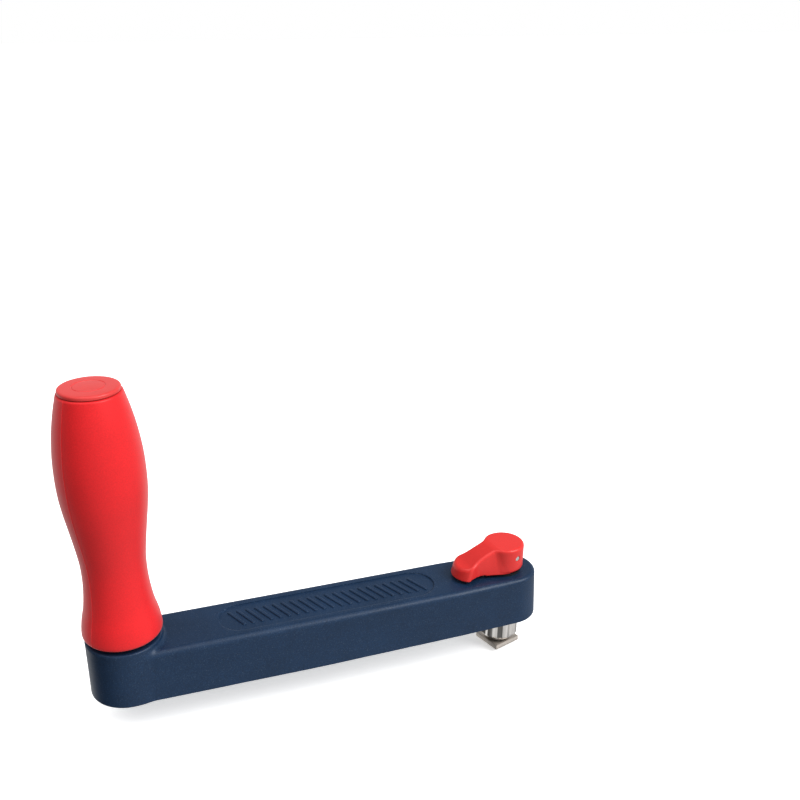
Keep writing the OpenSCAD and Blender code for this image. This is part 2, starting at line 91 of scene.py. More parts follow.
# The bar's outline wraps circles on its centre line: place, radius at the underside and at the top
ARM_PLAN = [
    (GRIP_X, 18.4, 17.0), (-110.0, 19.2, 16.8), (-32.0, 18.1, 16.8),
    (ARM_HI[0] - 17.0, 17.0, 15.5)]
# Recess in the arm's top: its ends, half width and depth
RECESS_X0, RECESS_X1, RECESS_HALF, RECESS_DEPTH = -158.0, -41.5, 11.5, 0.7
# Openings in the arm: clearance and corner cut of the cover, then radius and end of three bores
COVER_GAP, COVER_CORNER = 0.1, 9.4
ROOT_SEAT_R, ROOT_SEAT_TOP = 12.5, 10
NECK_BORE_R, NECK_BORE_TOP = 6.6, 16
NUT_POCKET_R, NUT_POCKET_LOW = 8.8, 15

# Lever: its direction from the drive axis, its hub, the hollows in it and its cross pin
LEVER_TURN = math.radians(186)
LEVER_LOW = LEVER_LO[2]
LEVER_HIGH = LEVER_HI[2]
HUB_R, HUB_CHAMFER = 11.0, 1.5
SPRING_ROOM_R, SPRING_ROOM_H = 8.4, 3
SHAFT_HOLE_R, SHAFT_HOLE_TOP = 4.0, LEVER_HIGH - 3.2
STOP_SLOT_R, STOP_SLOT_HALF, STOP_SLOT_TOP = 14.4, 1.7, 30.1
STOP_SLOT_SWING = math.radians(17.3)
PIN_Z = ARM_H + 10.2
PIN_TURN = math.radians(290)
PIN_R, PIN_HALF = 1.5, 10.75

# Drive stud and lock plate: size across flats, radius at the points, and radii of bore and neck
STAR_TURN = math.radians(-5.5)
STAR_AF, STAR_TIP_R = 17.3, 10.9
STUD_BORE_R, STUD_NECK_R, STUD_ROOT_HALF = 4.05, 6.5, 12.45
PLATE_TURN = math.radians(-5.5 + 22.5)
PLATE_HALF = 17.1 / 2


# ---------------------------------------------------------------- mesh makers
def new_piece(name, verts, faces, body, nodes, slot, sharp=35.0):
    """Mesh piece from millimetre points, which rides on body, if given, and stands for nodes."""
    mesh = bpy.data.meshes.new(name)
    mesh.from_pydata((np.asarray(verts) * MM).tolist(), [], faces)
    mesh.validate()
    mesh.shade_smooth()
    mesh.set_sharp_from_angle(angle=math.radians(sharp))
    obj = bpy.data.objects.new(name, mesh)
    bpy.context.scene.collection.objects.link(obj)
    mesh.materials.append(SLOTS[slot])
    if body:
        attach(obj, body)
    if nodes:
        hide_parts(*nodes)
    return obj


def rounded(points, steps=4):
    """Closed outline with each corner (x, y, radius) rounded."""
    out = []
    n = len(points)
    for i, (x, y, r) in enumerate(points):
        p = np.array([x, y], float)
        if r <= 0:
            out.append(tuple(p))
            continue
        a = np.array(points[i - 1][:2], float) - p
        b = np.array(points[(i + 1) % n][:2], float) - p
        la, lb = np.linalg.norm(a), np.linalg.norm(b)
        a, b = a / la, b / lb
        half = math.acos(max(-1, min(1, float(a @ b)))) / 2
        reach = min(r / math.tan(half), la * 0.49, lb * 0.49)
        r = reach * math.tan(half)
        centre = p + (a + b) / np.linalg.norm(a + b) * (r / math.sin(half))
        u, v = p + a * reach - centre, p + b * reach - centre
        turn = math.atan2(u[0] * v[1] - u[1] * v[0], float(u @ v))
        for k in range(steps + 1):
            t = turn * k / steps
            c, s = math.cos(t), math.sin(t)
            out.append(tuple(centre + [u[0] * c - u[1] * s, u[0] * s + u[1] * c]))
    return out


def lathe(profile, angles, axis_xy=(0, 0), bump=None):
    """Solid of revolution from a closed outline of (radius, z), with one vertex at the axis."""
    verts, rows = [], []
    for r, z in profile:
        if r < 1e-6:
            rows.append([len(verts)] * len(angles))
            verts.append((axis_xy[0], axis_xy[1], z))
            continue
        rows.append(list(range(len(verts), len(verts) + len(angles))))
        for a in angles:
            q = r + (bump(r, z, a) if bump else 0)
            verts.append((axis_xy[0] + q * math.cos(a), axis_xy[1] + q * math.sin(a), z))
    faces = []
    for i, row in enumerate(rows):
        nxt = rows[(i + 1) % len(rows)]
        for k in range(len(angles)):
            j = (k + 1) % len(angles)
            ring = [row[k], row[j], nxt[j], nxt[k]]
            face = [v for m, v in enumerate(ring) if v != ring[m - 1]]
            if len(face) > 2:
                faces.append(face)
    return verts, faces


def loft(rings, closed=False):
    """Skin over rings of equal length: capped at both ends, or joined last to first."""
    n = len(rings[0])
    verts = [p for ring in rings for p in ring]
    faces = []
    last = len(rings) if closed else len(rings) - 1
    for i in range(last):
        a, b = i * n, ((i + 1) % len(rings)) * n
        for k in range(n):
            j = (k + 1) % n
            faces.append([a + k, a + j, b + j, b + k])
    if not closed:
        faces.append(list(range(n))[::-1])
        faces.append([(len(rings) - 1) * n + k for k in range(n)])
    return verts, faces


def lines(*spans):
    """Grid lines from spans of (start, end, step)."""
    out = []
    for a, b, step in spans:
        n = max(1, round((b - a) / step))
        out += [a + (b - a) * k / n for k in range(n + 1)]
    return np.unique(np.round(out, 6))


def surface_net(field, xs, ys, zs, pull=3):
    """Closed quad mesh of the surface where field is zero, from a grid with the given lines."""
    # One vertex per crossed cell, at the mean of the crossings on its edges
    grid = np.meshgrid(xs, ys, zs, indexing="ij")
    value = field(*grid)
    shape = tuple(n - 1 for n in value.shape)
    total = np.zeros(shape + (3,))
    count = np.zeros(shape)
    for axis in range(3):
        others = [k for k in range(3) if k != axis]
        for b in (0, 1):
            for c in (0, 1):
                lo = [None] * 3
                hi = [None] * 3
                lo[axis], hi[axis] = slice(0, -1), slice(1, None)
                for k, off in zip(others, (b, c)):
                    lo[k] = hi[k] = slice(off, off + shape[k])
                v0, v1 = value[tuple(lo)], value[tuple(hi)]
                cross = (v0 < 0) != (v1 < 0)
                t = np.where(cross, v0 / np.where(cross, v0 - v1, 1), 0)
                for k in range(3):
                    p0, p1 = grid[k][tuple(lo)], grid[k][tuple(hi)]
                    total[..., k] += np.where(cross, p0 + (p1 - p0) * t, 0)
                count += cross
    active = count > 0
    index = np.full(shape, -1)
    index[active] = np.arange(active.sum())
    points = total[active] / count[active][:, None]
    # Pull each vertex onto the surface, without leaving its cell
    cell = np.stack(np.meshgrid(np.diff(xs), np.diff(ys), np.diff(zs), indexing="ij"), -1)[active]
    start, step = points.copy(), 0.01
    for _ in range(pull):
        f = field(*points.T)
        slope = np.stack([field(*(points + step * e).T) - field(*(points - step * e).T)
                          for e in np.eye(3)], -1) / (2 * step)
        size = np.maximum((slope ** 2).sum(1), 0.1)
        points = points - slope * (f / size)[:, None]
        points = start + np.clip(points - start, -0.45 * cell, 0.45 * cell)
    # One quad per crossed edge, between the four cells round it
    faces = []
    for axis in range(3):
        u, w = (axis + 1) % 3, (axis + 2) % 3
        lo = [slice(1, -1)] * 3
        hi = [slice(1, -1)] * 3
        lo[axis], hi[axis] = slice(0, -1), slice(1, None)
        v0, v1 = value[tuple(lo)] < 0, value[tuple(hi)] < 0
        quads = []
        for du, dw in ((0, 0), (1, 0), (1, 1), (0, 1)):
            at = [None] * 3
            at[axis] = slice(0, shape[axis])
            at[u] = slice(du, du + shape[u] - 1)
            at[w] = slice(dw, dw + shape[w] - 1)
            quads.append(index[tuple(at)])
        quads = np.stack(quads, -1)
        faces += quads[v0 & ~v1].tolist() + quads[~v0 & v1][:, ::-1].tolist()
    return points, faces


# ---------------------------------------------------------------- distance fields
def cut_round(a, b, r):
    """The part inside both a and b, with the edge between them rounded to radius r."""
    p, q = np.maximum(a + r, 0), np.maximum(b + r, 0)
    return np.minimum(np.maximum(a, b), -r) + np.hypot(p, q)


def join_round(a, b, r):
    """a and b together, with a fillet of radius r where they meet."""
    p, q = np.maximum(r - a, 0), np.maximum(r - b, 0)
    return np.maximum(np.minimum(a, b), r) - np.hypot(p, q)


def smooth_step(x, lo, hi):
    """0 below lo, 1 above hi, and a smooth rise between."""
    t = np.clip((x - lo) / (hi - lo), 0, 1)
    return t * t * (3 - 2 * t)


def curve(knots, x):
    """Smooth curve through (x, y) knots."""
    xs, ys = np.array(knots, float).T
    slope = np.gradient(ys, xs)
    i = np.clip(np.searchsorted(xs, x) - 1, 0, len(xs) - 2)
    w = xs[i + 1] - xs[i]
    t = np.clip((x - xs[i]) / w, 0, 1)
    return ((2 * t**3 - 3 * t**2 + 1) * ys[i] + (t**3 - 2 * t**2 + t) * w * slope[i]
            + (3 * t**2 - 2 * t**3) * ys[i + 1] + (t**3 - t**2) * w * slope[i + 1])


def circle_at(x, y, cx, cy, r):
    """Distance to a circle."""
    return np.hypot(x - cx, y - cy) - r


def stadium_at(x, y, x0, x1, half):
    """Distance to a stadium between the two centres x0 and x1."""
    along = np.clip(x, x0, x1)
    return np.hypot(x - along, y) - half


def box_at(x, y, x0, x1, y0, y1):
    """Distance to a rectangle."""
    p = np.maximum(x0 - x, x - x1)
    q = np.maximum(y0 - y, y - y1)
    return np.minimum(np.maximum(p, q), 0) + np.hypot(np.maximum(p, 0), np.maximum(q, 0))


def tapered_stadium(x, y, x0, r0, x1, r1):
    """Distance to the hull of two circles on the x axis, whose radii may be arrays."""
    gap = x1 - x0
    k = (r0 - r1) / gap
    side = np.sqrt(1 - k * k)
    px, py = x - x0, np.abs(y)
    foot = side * px - k * py
    d0 = np.hypot(px, py) - r0
    d1 = np.hypot(px - gap, py) - r1
    mid = side * py + k * px - r0
    return np.where(foot < 0, d0, np.where(foot > side * gap, d1, mid))


# ---------------------------------------------------------------- materials
def noise(nt, coords, scale, detail=4.0, rough=0.55, stretch=None):
    """Noise from 0 to 1, drawn out along the axes where stretch is small."""
    n = nt.nodes.new("ShaderNodeTexNoise")
    n.inputs["Scale"].default_value = scale
    n.inputs["Detail"].default_value = detail
    n.inputs["Roughness"].default_value = rough
    if stretch:
        m = nt.nodes.new("ShaderNodeMapping")
        m.inputs["Scale"].default_value = stretch
        nt.links.new(coords, m.inputs["Vector"])
        coords = m.outputs["Vector"]
    nt.links.new(coords, n.inputs["Vector"])
    return n.outputs["Fac"]


def ramp(nt, fac, stops):
    """Colour ramp through (position, colour) stops."""
    r = nt.nodes.new("ShaderNodeValToRGB")
    while len(r.color_ramp.elements) < len(stops):
        r.color_ramp.elements.new(0.5)
    for e, (pos, col) in zip(r.color_ramp.elements, stops):
        e.position = pos
        e.color = (*col, 1) if len(col) == 3 else col
    nt.links.new(fac, r.inputs["Fac"])
    return r.outputs["Color"]


def span(nt, fac, lo, hi, a=0.3, b=0.7):
    """fac from a to b, mapped to lo to hi and held outside."""
    m = nt.nodes.new("ShaderNodeMapRange")
    for key, value in (("From Min", a), ("From Max", b), ("To Min", lo), ("To Max", hi)):
        m.inputs[key].default_value = value
    nt.links.new(fac, m.inputs["Value"])
    return m.outputs["Result"]


def mix(nt, fac, a, b, kind="MIX"):
    """Colour mix, where each of fac, a and b is a value or a node's output."""
    m = nt.nodes.new("ShaderNodeMix")
    m.data_type = "RGBA"
    m.blend_type = kind
    for key, value in ((0, fac), (6, a), (7, b)):
        if hasattr(value, "is_output"):
            nt.links.new(value, m.inputs[key])
        else:
            m.inputs[key].default_value = (*value, 1) if isinstance(value, tuple) else value
    return m.outputs[2]


def shades(colour, low, high):
    """A darker and a lighter shade of a colour."""
    return tuple(c * low for c in colour), tuple(min(1, c * high) for c in colour)


MOTTLE_SCALE = 55.0


def make_material(name, colour, rough, grain=1800.0, grain_depth=0.02, mottle=(0.85, 1.15),
                  rough_span=0.08, metal=0.0, painted_edge_highlight=None, painted_crease_shade=None, streak=None, painted_sparkle=None,
                  **sockets):
    """A moulded or metal finish, with broad mottling, and fine grain in colour, roughness and bump.

    painted_edge_highlight is the colour and strength of a painted highlight on outer edges,
    painted_crease_shade the same for painted shade in inner corners, streak the stretch of the
    grain, and painted_sparkle the colour, scale and strength of sparse light specks painted as
    glints.
    """
    m = bpy.data.materials.new(name)
    m.use_nodes = True
    nt = m.node_tree
    shader = nt.nodes["Principled BSDF"]
    coords = nt.nodes.new("ShaderNodeTexCoord").outputs["Object"]
    broad = noise(nt, coords, MOTTLE_SCALE, 3.0)
    fine = noise(nt, coords, grain, 2.0, 0.5, streak)
    dark, light = shades(colour, *mottle)
    base = mix(nt, span(nt, fine, 0, 1, 0.32, 0.68), dark, light)
    base = mix(nt, 0.35, base, ramp(nt, broad, [(0.3, dark), (0.7, light)]))
    # Pointiness is about 0.5 on a flat surface, more on an outer edge and less in an inner corner
    if painted_edge_highlight or painted_crease_shade:
        edge = nt.nodes.new("ShaderNodeNewGeometry").outputs["Pointiness"]
        # Painted highlight: outer edges lightened towards a paler colour, standing in for light
        # caught on the rounded edges
        if painted_edge_highlight:
            base = mix(nt, span(nt, edge, 0, painted_edge_highlight[1], 0.53, 0.62), base, painted_edge_highlight[0])
        # Painted shade: inner corners darkened, standing in for shade in creases and valleys
        if painted_crease_shade:
            base = mix(nt, span(nt, edge, painted_crease_shade[1], 0, 0.38, 0.485), base, painted_crease_shade[0])
    # Painted sparkle: sparse light specks standing in for glints off the moulded grain
    if painted_sparkle:
        spots = noise(nt, coords, painted_sparkle[1], 1.0, 0.4)
        base = mix(nt, span(nt, spots, 0, painted_sparkle[2], 0.62, 0.76), base, painted_sparkle[0])
    nt.links.new(base, shader.inputs["Base Color"])
    nt.links.new(span(nt, mix(nt, 0.5, fine, broad), rough - rough_span, rough + rough_span),
                 shader.inputs["Roughness"])
    bump = nt.nodes.new("ShaderNodeBump")
    bump.inputs["Strength"].default_value = 1.0
    bump.inputs["Distance"].default_value = grain_depth * MM
    nt.links.new(fine, bump.inputs["Height"])
    nt.links.new(bump.outputs["Normal"], shader.inputs["Normal"])
    shader.inputs["Metallic"].default_value = metal
    for key, value in sockets.items():
        shader.inputs[key.replace("_", " ")].default_value = value
    return m


NAVY = (0.013, 0.038, 0.085)
# Material of each slot
SLOTS = {
    # Navy arm: a painted highlight on its outer edges and painted sparkle specks
    "arm_plastic": make_material(
        "navy_nylon", NAVY, 0.38, grain=1500, grain_depth=0.05, mottle=(0.75, 1.3),
        painted_edge_highlight=((0.06, 0.1, 0.16), 0.5), painted_sparkle=((0.12, 0.17, 0.24), 2300, 0.4),
        Specular_IOR_Level=0.38),
    "cover_plastic": make_material(
        "navy_cover", (0.019, 0.044, 0.09), 0.5, grain=1100, grain_depth=0.09,
        mottle=(0.65, 1.4), Specular_IOR_Level=0.22),
    # Red sleeve: a painted highlight on its outer edges and along the flash ridge
    "grip_rubber": make_material(
        "red_soft_touch", (0.7, 0.016, 0.021), 0.42, grain=1700, grain_depth=0.03,
        mottle=(0.9, 1.08), rough_span=0.06, painted_edge_highlight=((0.85, 0.12, 0.1), 0.35),
        Specular_IOR_Level=0.45, Sheen_Weight=0.18, Sheen_Roughness=0.5),
    "cap_plastic": make_material(
        "red_cap", (0.66, 0.065, 0.062), 0.36, grain=1800, grain_depth=0.012,
        mottle=(0.95, 1.05), rough_span=0.05, Specular_IOR_Level=0.5),
    "lever_plastic": make_material(
        "red_lever", (0.67, 0.045, 0.041), 0.32, grain=1800, grain_depth=0.004,
        mottle=(0.95, 1.05), rough_span=0.05, Specular_IOR_Level=0.45),
    "core_plastic": make_material(
        "black_nylon", (0.02, 0.021, 0.023), 0.5, grain=1500, grain_depth=0.03),
    "acetal": make_material(
        "white_acetal", (0.78, 0.76, 0.7), 0.38, grain=900, grain_depth=0.01,
        mottle=(0.95, 1.04), Subsurface_Weight=0.1, Subsurface_Scale=0.001),
    "foam": make_material(
        "buoyancy_foam", (0.7, 0.62, 0.36), 0.85, grain=700, grain_depth=0.3,
        mottle=(0.8, 1.12)),
    "seal_rubber": make_material(
        "black_rubber", (0.016, 0.016, 0.017), 0.6, grain=1600, grain_depth=0.02),
    # Chrome: painted shade darkening the valleys of the star
    "chrome": make_material(
        "chromed_bronze", (0.7, 0.68, 0.66), 0.1, grain=420, grain_depth=0.003,
        mottle=(0.8, 1.2), rough_span=0.04, metal=1.0, streak=(1, 1, 0.12),
        painted_crease_shade=((0.07, 0.065, 0.06), 0.45)),
    "plate_steel": make_material(
        "satin_steel", (0.66, 0.61, 0.56), 0.4, grain=1800, grain_depth=0.012,
        mottle=(0.85, 1.1), metal=0.8, streak=(1, 1, 0.15)),
    "stainless": make_material(
        "stainless_steel", (0.66, 0.65, 0.63), 0.25, grain=1500, grain_depth=0.008,
        mottle=(0.9, 1.06), metal=1.0),
    "spring_steel": make_material(
        "spring_wire", (0.45, 0.44, 0.43), 0.3, grain=1500, grain_depth=0.01, metal=1.0),
}


# ---------------------------------------------------------------- arm
def arm_field(x, y, z):
    """Distance to the arm: bar and boss, less the recess, the cover's opening and the bores."""
    up = np.clip(z / ARM_H, -0.1, 1.2)
    side = np.full(np.shape(x), 1e9)
    for (xa, low_a, top_a), (xb, low_b, top_b) in zip(ARM_PLAN, ARM_PLAN[1:]):
        ra, rb = low_a + (top_a - low_a) * up, low_b + (top_b - low_b) * up
        side = np.minimum(side, tapered_stadium(x, y, xa, ra, xb, rb))
    edge = 3.0 - 1.0 * smooth_step(x, -10, 8)
    bar = cut_round(cut_round(side, z - ARM_H, edge), -z, 0.3)
    boss = cut_round(cut_round(circle_at(x, y, GRIP_X, 0, BOSS_R), z - SEAT_Z, 1.2), -z, 0.3)
    solid = join_round(bar, boss, 2.2)
    inner_0, inner_1 = RECESS_X0 + RECESS_HALF, RECESS_X1 - RECESS_HALF
    recess = stadium_at(x, y, inner_0, inner_1, RECESS_HALF)
    solid = cut_round(solid, -cut_round(recess, ARM_H - RECESS_DEPTH - z, 0.2), 0.25)
    half = COVER_HI[1] + COVER_GAP
    x0, x1 = COVER_LO[0] - COVER_GAP, COVER_HI[0] + COVER_GAP
    cover = np.maximum(box_at(x, y, x0, x1, -half, half),
                       (-x + np.abs(y) + x0 - (half - COVER_CORNER)) / math.sqrt(2))
    solid = np.maximum(solid, -np.maximum(cover, z - GASKET_HI[2]))
    turned = [np.abs(x * math.cos(a) + y * math.sin(a)) for a in np.radians([0, 45, 90, 135])]
    octagon = np.maximum(np.maximum.reduce(turned) - ROOT_SEAT_R, z - ROOT_SEAT_TOP)
    solid = np.maximum(solid, -octagon)
    drive = np.hypot(x, y)
    solid = np.maximum(solid, -np.maximum(drive - NECK_BORE_R, z - NECK_BORE_TOP))
    return np.maximum(solid, -np.maximum(drive - NUT_POCKET_R, NUT_POCKET_LOW - z))


# The grid is fine where the surface bends and coarse along the bar
verts, faces = surface_net(
    arm_field,
    lines((-225.5, -182, 0.5), (-182, -160, 1.5), (-160, -145, 0.35), (-145, -55, 3.0),
          (-55, -40, 0.35), (-40, -25, 1.5), (-25, 20.5, 0.5)),
    lines((-20.5, -10, 0.35), (-10, 10, 1.0), (10, 20.5, 0.35)),
    lines((-1.2, 1.2, 0.3), (1.2, 2.8, 0.8), (2.8, 4, 0.3), (4, 22.8, 0.94), (22.8, 31.2, 0.3)))
new_piece("arm_body", verts, faces, "arm", ["arm_shell"], "arm_plastic")


# Anti-slip ribs in the recess
RIB_COUNT = 22
RIB_HALF_W, RIB_HALF_LEN, RIB_BEVEL = 0.8, 7.1, 0.3
RIB_LOW, RIB_HIGH = ARM_H - RECESS_DEPTH - 0.4, ARM_H - 0.1
RIB_LEAN = math.radians(25)
RIB_MARGIN = 9


def rib(at_x):
    """Leaning bar with rounded corners and a bevelled top."""
    out = rounded([(x, y, RIB_BEVEL) for x, y in (
        (-RIB_HALF_W, -RIB_HALF_LEN), (RIB_HALF_W, -RIB_HALF_LEN),
        (RIB_HALF_W, RIB_HALF_LEN), (-RIB_HALF_W, RIB_HALF_LEN))], 3)
    shoulder = RIB_HIGH - RIB_BEVEL
    levels = [(0, RIB_LOW), (0, shoulder)]
    levels += [(RIB_BEVEL * (1 - math.cos(t)), shoulder + RIB_BEVEL * math.sin(t))
               for t in np.radians([30, 60, 90])]
    c, s = math.cos(RIB_LEAN), math.sin(RIB_LEAN)
    rings = []
    for inset, z in levels:
        ring = []
        for x, y in out:
            x -= math.copysign(min(inset, abs(x)), x)
            y -= math.copysign(min(inset, abs(y)), y)
            ring.append((at_x + x * c - y * s, x * s + y * c, z))
        rings.append(ring)
    return loft(rings)


def joined(parts):
    """Several (verts, faces) meshes as one."""
    verts, faces = [], []
    for v, f in parts:
        faces += [[i + len(verts) for i in face] for face in f]
        verts += list(v)
    return verts, faces


rib_run = RECESS_X0 - RECESS_X1 + 2 * RIB_MARGIN
ribs = [rib(RECESS_X1 - RIB_MARGIN + rib_run * i / (RIB_COUNT - 1)) for i in range(RIB_COUNT)]
new_piece("arm_anti_slip_ribs", *joined(ribs), "arm", [], "arm_plastic")

# ---------------------------------------------------------------- grip
# Radius of the sleeve at fractions of its length
SLEEVE_CURVE = [
    (-0.01, 19.3), (0.0211, 19.4), (0.0713, 18.6), (0.1297, 16.9), (0.1925, 15.8),
    (0.2553, 15.25), (0.3233, 15.35), (0.3971, 16.35), (0.4749, 17.75), (0.547, 19.1),
    (0.6159, 20.0), (0.6848, 20.21), (0.7577, 19.9), (0.8185, 19.1), (0.8784, 17.95),
    (0.94, 16.3), (1.0, 14.3)]
# Rounding of the sleeve's foot and top, its wall, and the radius of the core inside its foot
FOOT_ROUND, TOP_ROUND = 2.4, 0.9
SLEEVE_WALL, CORE_R = 2.6, 11.0
# Directions of the two parting lines, and the height and half width in degrees of their flash
SEAMS = [math.radians(-142), math.radians(38)]
FLASH_H, FLASH_HALF = 0.18, 0.7


def sleeve_r(z):
    """Radius of the sleeve's outside at height z."""
    return float(curve(SLEEVE_CURVE, (z - SLEEVE_LO[2]) / (SLEEVE_HI[2] - SLEEVE_LO[2])))


def grip_angles():
    """Even steps round the sleeve, with fine ones at the two seams."""
    out = set(np.round(np.radians(np.arange(0, 360, 2.5)), 6))
    for seam in SEAMS:
        for d in (-1.0, -0.6, -0.3, -0.1, 0.1, 0.3, 0.6, 1.0):
            out.add(round((seam + math.radians(d)) % (2 * math.pi), 6))
    return sorted(out)


def seam_bump(r, z, a):
    """Fine moulding flash along the two parting lines of the sleeve."""
    if r < sleeve_r(z) - 0.6 or z < SLEEVE_LO[2] + 0.3:
        return 0.0
    off = min(abs((a - s + math.pi) % (2 * math.pi) - math.pi) for s in SEAMS)
    return FLASH_H * max(0.0, 1 - off / math.radians(FLASH_HALF))


low, high = SLEEVE_LO[2], SLEEVE_HI[2]
foot_r, top_r = sleeve_r(low + FOOT_ROUND), sleeve_r(high - TOP_ROUND)
outside = [(foot_r - FOOT_ROUND * (1 - math.sin(t)), low + FOOT_ROUND * (1 - math.cos(t)))
           for t in np.radians([0, 15, 30, 45, 60, 75])]
outside += [(sleeve_r(z), z) for z in np.linspace(low + FOOT_ROUND, high - TOP_ROUND, 72)]
outside += [(top_r - TOP_ROUND * (1 - math.cos(t)) - 0.1 * math.sin(t),
             high - TOP_ROUND * (1 - math.sin(t))) for t in np.radians([25, 50, 75, 90])]
inside = [(sleeve_r(z) - SLEEVE_WALL, z) for z in np.linspace(high - 2.2, low + 3.0, 30)]
cap_r = (CAP_HI[0] - CAP_LO[0]) / 2
profile = outside + [(cap_r - 0.9, high), (cap_r - 0.9, high - 2.2)] + inside
profile += [(CORE_R, low + 3.0), (CORE_R, low)]
new_piece("grip_sleeve_skin", *lathe(profile, grip_angles(), (GRIP_X, 0), seam_bump),
          "grip", ["grip_sleeve"], "grip_rubber", 50)

# End cap: a plug with a hollow below, a narrow neck, a rounded rim and a fine groove in its top
cap_low, cap_top = CAP_LO[2], CAP_HI[2]
plug_r, hollow_r, hollow_h = 10.4, 9.2, 5
groove_r, groove_half = 7.15, 0.32
cap = rounded([
    (0, cap_top, 0), (0, cap_low + hollow_h, 0), (hollow_r, cap_low + hollow_h, 0),
    (hollow_r, cap_low, 0.2), (plug_r, cap_low, 0.2), (plug_r, high - TOP_ROUND, 0.1),
    (cap_r - 1.1, high - TOP_ROUND, 0), (cap_r - 1.1, high + 0.35, 0.15), (cap_r, high + 0.35, 0.2),
    (cap_r, cap_top - 0.35, 0.85), (12, cap_top - 0.22, 3),
    (groove_r + groove_half, cap_top - 0.07, 0.12), (groove_r, cap_top - 0.38, 0.1),
    (groove_r - groove_half, cap_top - 0.06, 0.12)], 5)
new_piece("grip_end_cap", *lathe(cap, list(np.radians(np.arange(0, 360, 2.5))), (GRIP_X, 0)),
          "grip", ["grip_cap"], "cap_plastic", 50)

# ---------------------------------------------------------------- lever
# Finger of the lever, by distance from the drive axis: height, and half width at foot and crest
FINGER_TOP = [
    (0, 43.1), (7, 43.1), (9.5, 42.7), (12, 41.8), (14.7, 40.7), (18, 39.2), (21.7, 37.3),
    (24.6, 35.9), (27.3, 35.1), (31, 34.5)]
FINGER_FOOT = [
    (0, 10.2), (5, 9.9), (8, 9.0), (11, 8.0), (15, 7.0), (18, 6.6), (20.5, 6.9), (23, 7.8),
    (25.2, 8.5), (31, 9.2)]
FINGER_CREST = [
    (0, 9.8), (4.9, 8.4), (7, 7.2), (9.8, 6.5), (14.4, 6.4), (19.8, 6.9), (24.7, 8.4), (31, 9.2)]
# Centre of the rounding at the finger's tip, and the scoop under the finger
TIP_X = 20.2
SCOOP_X0, SCOOP_X1, SCOOP_H = 14.8, 24.6, 1.0


def lever_field(x, y, z):
    """Distance to the lever: hub and finger under one top surface, less the hollows below."""
    c, s = math.cos(LEVER_TURN), math.sin(LEVER_TURN)
    u, v = x * c + y * s, np.abs(-x * s + y * c)
    round_r = np.hypot(u, v)
    chamfer = (round_r - HUB_R + HUB_CHAMFER - z + LEVER_LOW) * 0.707
    hub = cut_round(round_r - HUB_R, chamfer, 0.5)
    top = curve(FINGER_TOP, u)
    lift = np.clip((z - LEVER_LOW) / (top - LEVER_LOW), 0, 1.2)
    foot, crest = curve(FINGER_FOOT, u), curve(FINGER_CREST, u)
    finger = (v - foot - (crest - foot) * lift) * 0.93
    reach = 10.6 - 1.4 * np.clip((z - 29) / 6, 0, 1.4)
    end = np.where(u > TIP_X, np.hypot(u - TIP_X, v), v) - reach
    finger = cut_round(cut_round(finger, end, 0.9), 1 - u, 0.1)
    finger = cut_round(finger, LEVER_LOW + 0.3 - z, 0.4)
    scoop = np.maximum(np.maximum(SCOOP_X0 - u, u - SCOOP_X1), z - LEVER_LOW - SCOOP_H)
    finger = np.maximum(finger, -scoop)
    solid = cut_round(join_round(hub, finger, 0.8), (z - top) * 0.93, 1.5)
    solid = cut_round(solid, LEVER_LOW - z, 0.2)
    solid = np.maximum(solid, z - LEVER_HIGH)
    solid = np.maximum(solid, -np.maximum(round_r - SPRING_ROOM_R, z - LEVER_LOW - SPRING_ROOM_H))
    solid = np.maximum(solid, -np.maximum(round_r - SHAFT_HOLE_R, z - SHAFT_HOLE_TOP))
    swing = (np.abs(np.arctan2(-x * s + y * c, u)) - STOP_SLOT_SWING) * STOP_SLOT_R
    slot = np.maximum(np.abs(round_r - STOP_SLOT_R) - STOP_SLOT_HALF, swing)
    solid = np.maximum(solid, -np.maximum(slot, z - STOP_SLOT_TOP))
    across = x * math.sin(PIN_TURN) - y * math.cos(PIN_TURN)
    return np.maximum(solid, PIN_R - np.hypot(across, z - PIN_Z))


verts, faces = surface_net(lever_field, lines((-32.5, 12.5, 0.33)), lines((-12.5, 12.5, 0.33)),
                           lines((27.2, LEVER_HIGH + 0.9, 0.3)))
new_piece("lock_lever_body", verts, faces, "lock", ["lock_lever"], "lever_plastic")

# Cross pin, with rounded ends, laid across the hub
pin = rounded([
    (0, -PIN_HALF, 0), (PIN_R, -PIN_HALF, 0.35), (PIN_R, PIN_HALF, 0.35), (0, PIN_HALF, 0)], 3)
verts, faces = lathe(pin, list(np.radians(np.arange(0, 360, 10))))
lay = Matrix.Translation((0, 0, PIN_Z)) @ Matrix.Rotation(PIN_TURN + math.pi / 2, 4, "Z") @ (
    Matrix.Rotation(math.radians(90), 4, "X"))
new_piece("lever_cross_pin", [tuple(lay @ Vector(v)) for v in verts], faces,
          "lock", ["lever_pin"], "stainless")


def tube(path, radius, sides=10):
    """Round wire along a path, closed at both ends."""
    path = np.array(path, float)
    along = np.gradient(path, axis=0)
    along /= np.linalg.norm(along, axis=1)[:, None]
    across = np.array([0.0, 1.0, 0.0])
    rings = []
    for point, ahead in zip(path, along):
        across = across - ahead * (across @ ahead)
        across /= np.linalg.norm(across)
        other = np.cross(ahead, across)
        rings.append([tuple(point + radius * (across * math.cos(t) + other * math.sin(t)))
                      for t in np.linspace(0, 2 * math.pi, sides + 1)[:-1]])
    return loft(rings)


